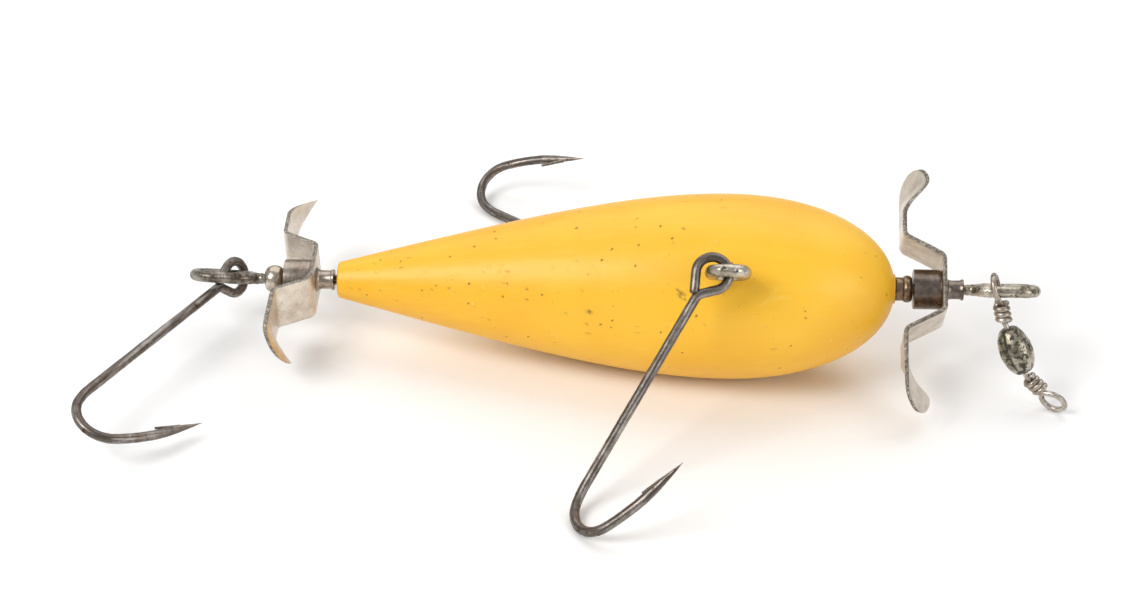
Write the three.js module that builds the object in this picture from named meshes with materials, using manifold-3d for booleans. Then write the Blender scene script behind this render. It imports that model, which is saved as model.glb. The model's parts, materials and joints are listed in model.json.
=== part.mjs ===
import * as THREE from 'three';
import * as BufferGeometryUtils from 'three/addons/utils/BufferGeometryUtils.js';
import Module from 'manifold-3d';

// A wooden fishing lure with a propeller at each end, two side hooks, a tail hook and a barrel
// swivel at the nose. It lies on its belly: nose towards +X, tail a little lower, +Y away from the
// viewer, the surface it rests on at Z = 0. Millimetres and degrees.

// Body: a turned teardrop, widest near the nose
const bodyLength = 76.2;
const bodyRadius = 12.66;
const noseLength = 22.9;
const noseFullness = 2.11;
const noseLandRadius = 2.0;
const tailRadius = 2.41;
const tailSoftness = 6.2;
const tailEdgeRadius = 0.5;
const bodySides = 36;

// How it lies
const noseUp = 3.38;
const bellyFlatDepth = 0.2;

// Gap kept between touching pieces
const gap = 0.3;

// Wire eyes at nose and tail, and the hardware on their shafts
const shaftRadius = 0.65;
const shaftDepth = 14;
const eyeWire = 1.6;
const eyeLength = 9.5;
const eyeWidth = 6.2;
const eyeTilt = 28;
const tailEyeBend = 3.2;
const tailPlay = 0.25;
const eyeNeckLength = 1.0;
const solderRadius = 0.95;
const boreRadius = shaftRadius + gap;
const beadRadius = 1.85;
const frontBeadLength = 1.9;
const tailBeadLength = 2.4;
const bushingRadius = 2.72;
const bushingLength = 3.5;
const stripThickness = 0.6;
const tubeRadius = 1.28;
const tubeFlare = 0.17;
const tubeLength = 2.1;
const collarRadius = 1.75;

// Propellers: a strip bent back at each side of a centre plate, with twisted round-ended blades
const stripWidth = 6.6;
const plateHalfLength = 3.3;
const armAngle = 62;
const frontArmLength = 4.8;
const tailArmLength = 4.1;
const bendRadius = 1.0;
const bladeLength = 10.3;
const bladeTwist = 31;
const twistStart = 1.5;
const twistEnd = 7.5;
const frontBladeLean = 53;
const tailBladeLean = 85;

// Screw eyes in the sides
const sideEyeWire = 1.7;
const sideEyeLength = 7.2;
const sideEyeWidth = 6.1;
const sideEyeReach = 20.6;
const sideEyeDepth = 9;
const nearEyeStation = 15.2;
const nearEyeRaise = 3;
const farEyeStation = 10.7;

// Hooks
const hookWire = 1.3;
const hookEyeRadius = 2.2;
const hookEyeOffset = 0.3;
const hookJog = 45;
const hookJogRadius = 1.6;
const hookEyeTurn = 250;
const hookEyeTail = 2.6;
const shankLength = 32.3;
const farShankExtra = 1.9;
const shankTurn = 17;
const shankTurnRadius = 9;
const hookBend = 126;
const hookBendRadius = 4.15;
const throatTurn = 14;
const throatLength = 6;
const pointSideSet = 7;
const spearLength = 6.6;
const barbStand = 1.15;
const barbLength = 2.9;
const barbThickness = 0.45;

// How each hook has fallen: direction of its shank seen from above, its roll about the shank, the
// twist of its eye about the shank and the height of its lowest point. Its slope is worked out.
const nearHookLie = { azimuth: -125, roll: 29, twist: -60, lowest: 0, slopes: [-55, -25] };
const farHookLie = { azimuth: 143, roll: 154.5, twist: 0, lowest: 0.1, slopes: [-12, 4] };
const tailHookLie = { azimuth: -116.7, roll: -12.5, twist: -60, lowest: 1.9, slopes: [-12, 8] };
// Where on its ring each hook hangs, and how its eye centre is set off from the ring's wire
const nearHookReach = 18.3;
const nearHookShift = new THREE.Vector3(0.2, 0, -0.5);
const farHookReach = 17.7;
const farHookShift = new THREE.Vector3(0.1, 0, 0);
const tailHookStation = -53.0;
const tailHookShift = new THREE.Vector3(0, -0.1, 0);

// Barrel swivel
const swivelWire = 0.78;
const swivelLoopLength = 5.0;
const swivelLoopWidth = 4.2;
const swivelTurns = 3;
const swivelTurnRadius = 1.1;
const swivelNeck = 0.9;
const swivelHead = 0.85;
const swivelHeadDepth = 1.3;
const barrelLength = 6.5;
const barrelRadius = 2.2;
const barrelEndRadius = 1.25;
const barrelWall = 0.45;
const barrelHole = 0.72;
// Top of the swivel in the nose eye, the barrel's upper end and the way it hangs, and the end of
// the line eye
const swivelTop = new THREE.Vector3(51.1, -1.25, 18.3);
const swivelBarrelTop = new THREE.Vector3(53.4, -3.9, 11.2);
const swivelDown = new THREE.Vector3(2.95, -2.05, -5.4).normalize();
const lineEyeEnd = new THREE.Vector3(62.1, -6.9, 1.36);
const upperEyeRoll = 75;
const lineEyeRoll = 60;

const wasm = await Module();
wasm.setup();

const radians = THREE.MathUtils.degToRad;

// Each material carries the colour and finish of the real surface
const paint = new THREE.MeshStandardMaterial({ color: 0xf2b52c, roughness: 0.28, metalness: 0 });
const nickel = new THREE.MeshStandardMaterial({ color: 0xb5aa9a, roughness: 0.35, metalness: 1 });
const darkNickel = new THREE.MeshStandardMaterial({ color: 0x7c6a5c, roughness: 0.4, metalness: 1 });
const steel = new THREE.MeshStandardMaterial({ color: 0x5a524c, roughness: 0.45, metalness: 1 });
const swivelMetal = new THREE.MeshStandardMaterial({ color: 0x9a9484, roughness: 0.45, metalness: 1 });

// Turns a three.js geometry into a solid that can be joined and cut
function solidOf(geometry) {
  const bare = geometry.clone();
  bare.deleteAttribute('normal');
  bare.deleteAttribute('uv');
  const merged = BufferGeometryUtils.mergeVertices(bare, 1e-5);
  const triangles = [];
  for (let i = 0; i < merged.index.count; i += 3) {
    const corners = [0, 1, 2].map((k) => merged.index.getX(i + k));
    if (new Set(corners).size === 3) triangles.push(...corners);
  }
  const mesh = new wasm.Mesh({
    numProp: 3,
    vertProperties: new Float32Array(merged.attributes.position.array),
    triVerts: new Uint32Array(triangles),
  });
  mesh.merge();
  return new wasm.Manifold(mesh);
}

function geometryOf(solid) {
  const mesh = solid.getMesh();
  const geometry = new THREE.BufferGeometry();
  geometry.setAttribute('position', new THREE.BufferAttribute(mesh.vertProperties, 3));
  geometry.setIndex(new THREE.BufferAttribute(mesh.triVerts, 1));
  geometry.computeVertexNormals();
  return geometry;
}

function joined(geometries) {
  return geometries.map(solidOf).reduce((sum, solid) => sum.add(solid));
}

function piece(name, material, solid) {
  const mesh = new THREE.Mesh(geometryOf(solid), material);
  mesh.name = name;
  return mesh;
}

// A step of a given length in the plane
function headed(angle, length) {
  return new THREE.Vector2(Math.cos(angle), Math.sin(angle)).multiplyScalar(length);
}

// Walks in a plane: straight steps { ahead } and round steps { turn, radius }, left turns positive
function walk(start, heading, steps, stepAngle = 18) {
  const points = [start.clone()];
  let here = start.clone();
  let angle = radians(heading);
  for (const step of steps) {
    if (step.ahead) {
      here = here.clone().add(headed(angle, step.ahead));
      points.push(here);
      continue;
    }
    const count = Math.max(2, Math.ceil(Math.abs(step.turn) / stepAngle));
    const part = radians(step.turn) / count;
    const chord = 2 * step.radius * Math.sin(Math.abs(part) / 2);
    for (let i = 0; i < count; i++) {
      angle += part / 2;
      here = here.clone().add(headed(angle, chord));
      angle += part / 2;
      points.push(here);
    }
  }
  return points;
}

// A path sampled exactly at its own points, so that straight runs cost no extra steps
class PointPath extends THREE.Curve {
  constructor(points) {
    super();
    this.points = points;
  }

  getPoint(t, target = new THREE.Vector3()) {
    const place = t * (this.points.length - 1);
    const i = Math.min(Math.floor(place), this.points.length - 2);
    return target.copy(this.points[i]).lerp(this.points[i + 1], place - i);
  }

  getPointAt(u, target) {
    return this.getPoint(u, target);
  }

  getTangentAt(u, target = new THREE.Vector3()) {
    const i = Math.round(u * (this.points.length - 1));
    const last = this.points.length - 1;
    const before = this.points[Math.max(i, 1) - 1];
    const middle = this.points[Math.min(Math.max(i, 1), last)];
    target.copy(middle).sub(before).normalize();
    if (i > 0 && i < last) {
      target.add(this.points[i + 1].clone().sub(this.points[i]).normalize());
    }
    return target.normalize();
  }
}

// Round wire of the given diameter along a list of points
function wireAlong(points, diameter, sides = 7) {
  const section = new THREE.Shape();
  for (let i = 0; i < sides; i++) {
    const angle = (i / sides) * 2 * Math.PI;
    const x = (Math.cos(angle) * diameter) / 2;
    const y = (Math.sin(angle) * diameter) / 2;
    if (i === 0) section.moveTo(x, y);
    else section.lineTo(x, y);
  }
  return new THREE.ExtrudeGeometry(section, {
    steps: points.length - 1,
    extrudePath: new PointPath(points),
    bevelEnabled: false,
  });
}

// A rod along X from one station to another
function rod(from, to, radius, sides = 14, endRadius = radius) {
  const geometry = new THREE.CylinderGeometry(endRadius, radius, to - from, sides);
  geometry.rotateZ(-Math.PI / 2);
  geometry.translate((from + to) / 2, 0, 0);
  return geometry;
}

// A wire ring in the XY plane, a torus pulled out along X into an oval
function ovalRing(length, width, wire, wireSides = 7, sides = 24) {
  const geometry = new THREE.TorusGeometry((width - wire) / 2, wire / 2, wireSides, sides);
  const stretch = (length - width) / 2;
  const position = geometry.attributes.position;
  for (let i = 0; i < position.count; i++) {
    const x = position.getX(i);
    if (Math.abs(x) > wire) position.setX(i, x + Math.sign(x) * stretch);
    else position.setX(i, x + (x / wire) * stretch);
  }
  return geometry;
}

// A shape turned about the X axis from [station, radius] points
function turned(points, sides) {
  const outline = points.map(([station, radius]) => new THREE.Vector2(radius, station));
  const geometry = new THREE.LatheGeometry(outline, sides);
  geometry.rotateZ(-Math.PI / 2);
  return geometry;
}

// Body radius at a distance behind the nose: a full round nose, then an easing into a straight taper
function bodyRadiusAt(distance) {
  if (distance < noseLength) {
    const left = 1 - distance / noseLength;
    return bodyRadius * Math.pow(1 - Math.pow(left, noseFullness), 1 / noseFullness);
  }
  const drop = bodyRadius - tailRadius + tailSoftness;
  const slope = Math.sqrt(drop * drop - tailSoftness * tailSoftness);
  const along = (distance - noseLength) / (bodyLength - noseLength);
  return bodyRadius + tailSoftness - Math.hypot(tailSoftness, slope * along);
}

function bodyOutline() {
  const points = [[-bodyLength / 2, 0]];
  for (let i = 0; i <= 3; i++) {
    const angle = (i / 3) * (Math.PI / 2);
    const inset = tailEdgeRadius * (1 - Math.sin(angle));
    points.push([
      -bodyLength / 2 + tailEdgeRadius * (1 - Math.cos(angle)),
      bodyRadiusAt(bodyLength - tailEdgeRadius) - inset,
    ]);
  }
  const taperSteps = 12;
  const taperLength = bodyLength - tailEdgeRadius - noseLength;
  for (let i = 1; i <= taperSteps; i++) {
    const distance = bodyLength - tailEdgeRadius - (i / taperSteps) * taperLength;
    points.push([bodyLength / 2 - distance, bodyRadiusAt(distance)]);
  }
  const noseSteps = 12;
  for (let i = 1; i <= noseSteps; i++) {
    const distance = noseLength * (1 - Math.sin((i / noseSteps) * (Math.PI / 2)));
    const radius = Math.max(bodyRadiusAt(distance), noseLandRadius);
    points.push([bodyLength / 2 - distance, radius]);
  }
  points.push([bodyLength / 2, 0]);
  return points;
}

// Height of the body's axis above the surface, with the belly flat cut to its depth
function axisHeight() {
  const tilt = radians(noseUp);
  const steps = 400;
  let lowest = 0;
  for (let i = 0; i <= steps; i++) {
    const distance = (i / steps) * bodyLength;
    const station = bodyLength / 2 - distance;
    const height = station * Math.sin(tilt) - bodyRadiusAt(distance) * Math.cos(tilt);
    lowest = Math.min(lowest, height);
  }
  return -lowest - bellyFlatDepth;
}

const lieOfBody = new THREE.Matrix4()
  .makeTranslation(0, 0, axisHeight())
  .multiply(new THREE.Matrix4().makeRotationY(-radians(noseUp)));

// The roll that lets the far side eye touch the surface
function sideEyeAngle() {
  const tilt = radians(noseUp);
  const eyeAxisHeight = axisHeight() + farEyeStation * Math.sin(tilt);
  const endHeight = eyeAxisHeight - sideEyeWire / 2 - 0.05;
  return Math.asin(endHeight / ((sideEyeReach - sideEyeWire / 2) * Math.cos(tilt)));
}

// Side eyes: stem position along the body and outward direction, near one towards the viewer and up
const sideEyes = {
  near: { station: nearEyeStation, angle: Math.PI - sideEyeAngle() - radians(nearEyeRaise) },
  far: { station: farEyeStation, angle: -sideEyeAngle() },
};

function sideEyeFrame({ station, angle }) {
  const outward = new THREE.Vector3(0, Math.cos(angle), Math.sin(angle));
  const along = new THREE.Vector3(-1, 0, 0);
  const frame = new THREE.Matrix4().makeBasis(outward, along, outward.clone().cross(along));
  return frame.setPosition(station, 0, 0);
}

function body() {
  let solid = solidOf(turned(bodyOutline(), bodySides));
  const surface = new THREE.BoxGeometry(200, 200, 20);
  surface.translate(0, 0, -10);
  surface.applyMatrix4(lieOfBody.clone().invert());
  solid = solid.subtract(solidOf(surface));
  const holeDepth = shaftDepth + 1;
  solid = solid.subtract(solidOf(rod(bodyLength / 2 - holeDepth, bodyLength / 2 + 1, boreRadius)));
  solid = solid.subtract(solidOf(rod(-bodyLength / 2 - 1, holeDepth - bodyLength / 2, boreRadius)));
  for (const eye of Object.values(sideEyes)) {
    const hole = rod(bodyRadius - sideEyeDepth - 1, bodyRadius + 2, sideEyeWire / 2 + gap);
    hole.applyMatrix4(sideEyeFrame(eye));
    solid = solid.subtract(solidOf(hole));
  }
  return piece('body', paint, solid);
}

// A wire eye with its ring's outer end at X = 0 and its shaft running towards -X. The ring is tilted
// about the shaft and may be bent up a little at the neck.
function wireEye(length, width, wire, stemRadius, stemEnd, tilt = 0, bend = 0) {
  const ring = ovalRing(length, width, wire);
  ring.rotateX(radians(tilt)).translate(length / 2, 0, 0);
  ring.rotateY(-radians(bend)).translate(-length, 0, 0);
  const stem = rod(stemEnd, wire / 2 - length, stemRadius);
  const solder = new THREE.SphereGeometry(solderRadius, 8, 6);
  solder.scale(1, wire / 1.8, wire / 1.8);
  solder.translate(wire / 4 - length, 0, 0);
  return joined([ring, stem, solder]);
}

// Stations along the body's axis, from the body's middle
const frontBeadStart = bodyLength / 2 + gap;
const frontHubStart = frontBeadStart + frontBeadLength + gap;
const plateSlot = stripThickness + 2 * gap;
const hubLength = bushingLength + plateSlot + tubeLength;
const frontEyeEnd = frontHubStart + hubLength + eyeNeckLength + eyeLength;
const tailHubStart = -bodyLength / 2 - gap - tailPlay - hubLength;
const tailBeadStart = tailHubStart - gap - tailBeadLength;
const tailEyeEnd = tailBeadStart - eyeNeckLength - eyeLength;
const plateStation = bushingLength + plateSlot / 2;

function frontEye() {
  const stemEnd = bodyLength / 2 - shaftDepth - frontEyeEnd;
  const shape = wireEye(eyeLength, eyeWidth, eyeWire, shaftRadius, stemEnd, -eyeTilt);
  const eye = piece('front_eye', nickel, shape);
  eye.position.x = frontEyeEnd;
  return eye;
}

function tailEye() {
  const stemEnd = tailEyeEnd + bodyLength / 2 - shaftDepth;
  const solid = wireEye(eyeLength, eyeWidth, eyeWire, shaftRadius, stemEnd, eyeTilt, tailEyeBend);
  const eye = piece('tail_eye', nickel, solid);
  eye.position.x = tailEyeEnd;
  eye.rotation.z = Math.PI;
  return eye;
}

function sideEye(name, placing) {
  const stemEnd = bodyRadius - sideEyeDepth - sideEyeReach;
  const shape = wireEye(sideEyeLength, sideEyeWidth, sideEyeWire, sideEyeWire / 2, stemEnd);
  const eye = piece(name, nickel, shape);
  const frame = sideEyeFrame(placing);
  eye.rotation.setFromRotationMatrix(frame);
  eye.position.set(sideEyeReach, 0, 0).applyMatrix4(frame);
  return eye;
}

// A bead with a round outside and a bore
function bead(name, start, length) {
  const crown = 0.45;
  const steps = 6;
  const outline = [];
  for (let i = 0; i <= steps; i++) {
    const across = (2 * i) / steps - 1;
    outline.push([start + (i / steps) * length, beadRadius - crown * Math.pow(Math.abs(across), 2.5)]);
  }
  outline.push([start + length, boreRadius], [start, boreRadius], outline[0]);
  return piece(name, darkNickel, solidOf(turned(outline, 18)));
}

// A stepped hub: bushing, a neck through the propeller plate, a collar and a flared tube
function hub(name, start) {
  const afterSlot = bushingLength + plateSlot;
  const outline = [
    [0, bushingRadius],
    [bushingLength, bushingRadius],
    [bushingLength, tubeRadius],
    [afterSlot, tubeRadius],
    [afterSlot, collarRadius],
    [afterSlot + 0.25, tubeRadius + 0.15],
    [afterSlot + 0.6, tubeRadius],
    [hubLength - 0.5, tubeRadius],
    [hubLength, tubeRadius + tubeFlare],
    [hubLength, boreRadius],
    [0, boreRadius],
    [0, bushingRadius],
  ];
  const shifted = outline.map(([station, radius]) => [start + station, radius]);
  return piece(name, darkNickel, solidOf(turned(shifted, 20)));
}

// Where a point of the flat strip ends up once it is bent: along the strip, across it, and through it
function bentStrip(armLength, along, across, through) {
  const side = Math.sign(along) || 1;
  const corner = radians(armAngle) * bendRadius;
  let left = Math.abs(along);
  let heading = 0;
  const place = new THREE.Vector2();
  const runs = [
    { length: plateHalfLength, turn: 0 },
    { length: corner, turn: 1 },
    { length: armLength, turn: 0 },
    { length: corner, turn: -1 },
    { length: bladeLength, turn: 0 },
  ];
  for (const run of runs) {
    const taken = Math.min(left, run.length);
    const turn = (run.turn * taken) / bendRadius;
    const middle = heading + turn / 2;
    place.x += Math.cos(middle) * taken;
    place.y -= Math.sin(middle) * taken;
    heading += turn;
    left -= taken;
  }
  const onBlade = Math.abs(along) - plateHalfLength - 2 * corner - armLength;
  const twist = radians(bladeTwist) * THREE.MathUtils.smoothstep(onBlade, twistStart, twistEnd);
  const fromEdge = across * side + stripWidth / 2;
  const lift = fromEdge * Math.sin(twist);
  const width = side * (fromEdge * Math.cos(twist) - stripWidth / 2);
  const radial = place.x + through * Math.sin(heading);
  const axial = place.y + lift + through * Math.cos(heading) * Math.cos(twist);
  return new THREE.Vector3(axial, -width - side * through * Math.sin(twist), side * radial);
}

// Distances along half of the strip, closer together at the bends and at the round end
function stripStations(armLength) {
  const corner = radians(armAngle) * bendRadius;
  const armStart = plateHalfLength + corner;
  const bladeStart = armStart + armLength + corner;
  const roundStart = bladeStart + bladeLength - stripWidth / 2;
  const stations = [0, tubeRadius + gap];
  const spread = (from, to, count) => {
    for (let i = 0; i < count; i++) stations.push(from + (i / count) * (to - from));
  };
  spread(plateHalfLength, armStart, 3);
  stations.push(armStart);
  spread(armStart + armLength, bladeStart, 3);
  spread(bladeStart, roundStart, 5);
  for (let i = 0; i <= 5; i++) {
    stations.push(roundStart + (Math.sin((i / 5) * (Math.PI / 2)) * stripWidth) / 2);
  }
  return { stations, roundStart };
}

function propeller(name, station, armLength, lean) {
  const { stations, roundStart } = stripStations(armLength);
  const half = stations.length - 1;
  const strip = new THREE.BoxGeometry(2 * half, 2, 1, 2 * half, 2, 1);
  const position = strip.attributes.position;
  const tipHalfWidth = 0.2;
  for (let i = 0; i < position.count; i++) {
    const index = Math.round(position.getX(i));
    const along = Math.sign(index) * stations[Math.abs(index)];
    const overEnd = Math.max(0, Math.abs(along) - roundStart);
    const roundWidth = Math.sqrt(Math.max(0, (stripWidth / 2) ** 2 - overEnd ** 2));
    const across = position.getY(i) * Math.max(tipHalfWidth, roundWidth);
    const place = bentStrip(armLength, along, across, position.getZ(i) * stripThickness);
    position.setXYZ(i, place.x, place.y, place.z);
  }
  const hole = rod(-3, 3, tubeRadius + gap, 20);
  const mesh = piece(name, nickel, solidOf(strip).subtract(solidOf(hole)));
  mesh.position.x = station;
  mesh.rotation.x = -radians(lean);
  return mesh;
}

function twisted(x, y, twist) {
  return new THREE.Vector3(x, y * Math.cos(radians(twist)), y * Math.sin(radians(twist)));
}

// The hook's wire up to its spear point: eye centre above the origin, shank along +X, point side +Y,
// with the eye twisted about the shank
function hookPath(shank, twist) {
  const jog = radians(hookJog);
  const loopStart = new THREE.Vector2(Math.cos(jog), Math.sin(jog)).multiplyScalar(hookEyeRadius);
  loopStart.y += hookEyeOffset;
  const jogRun = (loopStart.y - hookJogRadius * (1 - Math.cos(jog))) / Math.sin(jog);
  const neck = new THREE.Vector2(loopStart.x + hookJogRadius * Math.sin(jog) + jogRun * Math.cos(jog), 0);
  const eye = walk(neck, 180, [
    { turn: -hookJog, radius: hookJogRadius },
    { ahead: jogRun },
    { turn: hookEyeTurn, radius: hookEyeRadius },
    { ahead: hookEyeTail },
  ]);
  const bend = walk(new THREE.Vector2(shank, 0), 0, [
    { turn: shankTurn, radius: shankTurnRadius },
    { turn: hookBend, radius: hookBendRadius },
    { turn: throatTurn, radius: throatLength / radians(throatTurn) },
  ]);
  const path = eye.reverse().map(({ x, y }) => twisted(x, y, twist));
  let run = 0;
  bend.forEach(({ x, y }, i) => {
    if (i > 0) run += bend[i].distanceTo(bend[i - 1]);
    const set = Math.max(0, run - hookBendRadius) * Math.tan(radians(pointSideSet));
    path.push(new THREE.Vector3(x, y, -set));
  });
  return path;
}

// The spear point and its barb, set on the end of the wire
function spear(points) {
  const end = points[points.length - 1];
  const ahead = end.clone().sub(points[points.length - 2]).normalize();
  const inward = new THREE.Vector3(0, 0, 1).cross(ahead).normalize();
  const frame = new THREE.Matrix4().makeBasis(ahead, inward, ahead.clone().cross(inward)).setPosition(end);
  const point = rod(-0.3, spearLength, hookWire / 2, 7, 0.06);
  const outline = new THREE.Shape();
  outline.moveTo(-0.2, barbStand);
  outline.lineTo(barbLength * 0.35, 0.1);
  outline.lineTo(barbLength * 0.8, 0);
  outline.lineTo(barbLength, 0.3);
  outline.closePath();
  const barb = new THREE.ExtrudeGeometry(outline, { depth: barbThickness, steps: 1, bevelEnabled: false });
  barb.translate(0, 0, -barbThickness / 2);
  return [point.applyMatrix4(frame), barb.applyMatrix4(frame)];
}

// A hook hung with its eye centre at a place, turned down until it just reaches the surface
function hook(name, place, lie, shank) {
  const points = hookPath(shank, lie.twist);
  const solid = joined([wireAlong(points, hookWire), ...spear(points)]);
  const mesh = piece(name, steel, solid);
  mesh.rotation.order = 'ZYX';
  mesh.rotation.set(radians(lie.roll), 0, radians(lie.azimuth));
  const eyeCentre = twisted(0, hookEyeOffset, lie.twist);
  const hang = (slope) => {
    mesh.rotation.y = -radians(slope);
    mesh.position.set(0, 0, 0);
    mesh.updateMatrix();
    mesh.position.copy(place).sub(eyeCentre.clone().applyMatrix4(mesh.matrix));
    mesh.updateMatrix();
    return new THREE.Box3().setFromObject(mesh, true).min.z;
  };
  let [low, high] = lie.slopes;
  for (let i = 0; i < 30; i++) {
    const slope = (low + high) / 2;
    if (hang(slope) > lie.lowest) high = slope;
    else low = slope;
  }
  hang(high);
  return mesh;
}

// A point near the tail-side wire of a side eye's ring, where its hook hangs
function sideHookPlace({ station, angle }, reach, shift) {
  const wireOffset = (sideEyeWidth - sideEyeWire) / 2;
  const place = new THREE.Vector3(station - wireOffset, reach * Math.cos(angle), reach * Math.sin(angle));
  return place.applyMatrix4(lieOfBody).add(shift);
}

// A point on the far wire of the tail eye's ring, towards the neck
function tailHookPlace() {
  const wireOffset = (eyeWidth - eyeWire) / 2;
  const tilt = radians(eyeTilt);
  const place = new THREE.Vector3(tailHookStation, Math.cos(tilt), -Math.sin(tilt));
  place.y *= wireOffset;
  place.z *= wireOffset;
  return place.applyMatrix4(lieOfBody).add(tailHookShift);
}

// One wire eye of the swivel: origin at the barrel's end, pin inwards along -X, loop outwards,
// bent outside the barrel and its loop rolled about its own line
function swivelEye(name, bend, roll) {
  const pinRadius = swivelWire / 2;
  const pin = rod(-swivelHeadDepth, swivelNeck, pinRadius, 8);
  const head = new THREE.SphereGeometry(swivelHead, 8, 6).translate(-swivelHeadDepth, 0, 0);
  const elbow = new THREE.SphereGeometry(pinRadius * 1.02, 8, 6).translate(swivelNeck, 0, 0);
  const turnPitch = swivelWire * 1.08;
  const turnsLength = swivelTurns * turnPitch;
  const outer = [rod(0, turnsLength + pinRadius, swivelTurnRadius - pinRadius * 0.8, 8)];
  for (let i = 0; i < swivelTurns; i++) {
    const turn = new THREE.TorusGeometry(swivelTurnRadius, pinRadius, 5, 12);
    turn.rotateY(Math.PI / 2);
    outer.push(turn.translate((i + 0.5) * turnPitch, 0, 0));
  }
  const loop = ovalRing(swivelLoopLength, swivelLoopWidth, swivelWire, 6, 16);
  loop.rotateX(radians(roll));
  outer.push(loop.translate(turnsLength + swivelLoopLength / 2 - pinRadius, 0, 0));
  for (const geometry of outer) geometry.rotateZ(radians(bend)).translate(swivelNeck, 0, 0);
  return piece(name, swivelMetal, joined([pin, head, elbow, ...outer]));
}

// The swivel's hollow barrel along X, its top end at the origin
function swivelBarrel() {
  const steps = 8;
  const outline = [];
  const swell = barrelRadius - barrelEndRadius;
  const bulge = (across) => barrelEndRadius + swell * Math.pow(1 - across * across, 0.6);
  for (let i = 0; i <= steps; i++) {
    outline.push([(i / steps) * barrelLength, bulge((2 * i) / steps - 1)]);
  }
  outline.push([barrelLength, barrelHole], [barrelLength - barrelWall, barrelHole]);
  for (let i = steps - 1; i >= 1; i--) {
    const across = (2 * i) / steps - 1;
    const station = barrelLength / 2 + across * (barrelLength / 2 - barrelWall);
    outline.push([station, bulge(across) - barrelWall]);
  }
  outline.push([barrelWall, barrelHole], [0, barrelHole], outline[0]);
  return piece('swivel_barrel', swivelMetal, solidOf(turned(outline, 16)));
}

// A swivel eye whose pin leaves the barrel one way and whose loop reaches towards a place
function swivelEyeAt(name, origin, away, target, roll) {
  const toward = target.clone().sub(origin).normalize();
  const hinge = away.clone().cross(toward).normalize();
  const frame = new THREE.Matrix4().makeBasis(away, hinge.clone().cross(away), hinge);
  const eye = swivelEye(name, THREE.MathUtils.radToDeg(away.angleTo(toward)), roll);
  eye.rotation.setFromRotationMatrix(frame);
  eye.position.copy(origin);
  return eye;
}

function swivel() {
  const up = swivelDown.clone().negate();
  const foot = swivelBarrelTop.clone().addScaledVector(swivelDown, barrelLength);
  const upper = swivelEyeAt('swivel_upper_eye', swivelBarrelTop, up, swivelTop, upperEyeRoll);
  const lower = swivelEyeAt('swivel_lower_eye', foot, swivelDown, lineEyeEnd, lineEyeRoll);
  const barrel = swivelBarrel();
  barrel.quaternion.copy(lower.quaternion);
  barrel.position.copy(swivelBarrelTop);
  return [upper, barrel, lower];
}

const bodyGroup = new THREE.Group();
bodyGroup.applyMatrix4(lieOfBody);
bodyGroup.add(
  body(),
  frontEye(),
  bead('front_bead', frontBeadStart, frontBeadLength),
  hub('front_hub', frontHubStart),
  propeller('front_propeller', frontHubStart + plateStation, frontArmLength, frontBladeLean),
  tailEye(),
  bead('tail_bead', tailBeadStart, tailBeadLength),
  hub('tail_hub', tailHubStart),
  propeller('tail_propeller', tailHubStart + plateStation, tailArmLength, tailBladeLean),
  sideEye('near_side_eye', sideEyes.near),
  sideEye('far_side_eye', sideEyes.far),
);

const nearHookPlace = sideHookPlace(sideEyes.near, nearHookReach, nearHookShift);
const farHookPlace = sideHookPlace(sideEyes.far, farHookReach, farHookShift);
const lure = new THREE.Group();
lure.add(
  bodyGroup,
  hook('near_hook', nearHookPlace, nearHookLie, shankLength),
  hook('far_hook', farHookPlace, farHookLie, shankLength + farShankExtra),
  hook('tail_hook', tailHookPlace(), tailHookLie, shankLength),
  ...swivel(),
);

// The origin is the middle of the lure's bounding box, on the surface
const bounds = new THREE.Box3().setFromObject(lure, true);
const middle = bounds.getCenter(new THREE.Vector3());
lure.position.set(-middle.x, -middle.y, 0);

export default lure;
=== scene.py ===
import json
import math
import random

import bmesh
import bpy
from mathutils import Matrix, Vector, noise


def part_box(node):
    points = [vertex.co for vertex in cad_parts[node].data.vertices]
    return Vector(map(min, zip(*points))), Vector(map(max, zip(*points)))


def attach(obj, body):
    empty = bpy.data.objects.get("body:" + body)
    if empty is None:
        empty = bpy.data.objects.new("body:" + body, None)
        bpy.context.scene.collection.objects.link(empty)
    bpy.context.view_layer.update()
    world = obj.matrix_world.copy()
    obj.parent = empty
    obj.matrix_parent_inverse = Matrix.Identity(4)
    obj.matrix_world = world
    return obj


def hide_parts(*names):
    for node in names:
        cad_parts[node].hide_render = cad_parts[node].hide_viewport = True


# A wooden fishing lure with a propeller at each end, lying on a white table. The wire, the strip
# and the turned parts are worked out in millimetres, then put in place in metres.

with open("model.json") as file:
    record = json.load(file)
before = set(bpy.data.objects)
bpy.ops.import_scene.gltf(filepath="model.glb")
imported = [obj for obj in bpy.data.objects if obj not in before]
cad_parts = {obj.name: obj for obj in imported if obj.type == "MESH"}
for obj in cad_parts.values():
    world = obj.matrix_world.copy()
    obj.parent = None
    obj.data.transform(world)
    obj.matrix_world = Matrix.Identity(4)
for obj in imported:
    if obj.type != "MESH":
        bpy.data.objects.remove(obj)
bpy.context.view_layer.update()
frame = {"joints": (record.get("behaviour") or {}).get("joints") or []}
mm = 0.001

joints = {joint["name"]: joint for joint in frame["joints"]}
lureAxis = Vector(joints["front_propeller_spin"]["axis"]).normalized()
lureUp = lureAxis.cross(Vector((0, 1, 0)))
noseHinge = Vector(joints["front_propeller_spin"]["pos_m"])
lureMiddle = noseHinge - lureAxis * 44.7 * mm  # the middle of the wood
inMillimetres = Matrix.Scale(mm, 4)


def turnTo(x, y, z):
    # the turn that brings the axes to these three directions
    return Matrix((x, y, z)).transposed().to_4x4()


def show(thing):
    bpy.context.scene.collection.objects.link(thing)


lureTurn = turnTo(lureAxis, Vector((0, 1, 0)), lureUp)
lurePlace = Matrix.Translation(lureMiddle) @ lureTurn @ inMillimetres
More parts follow.
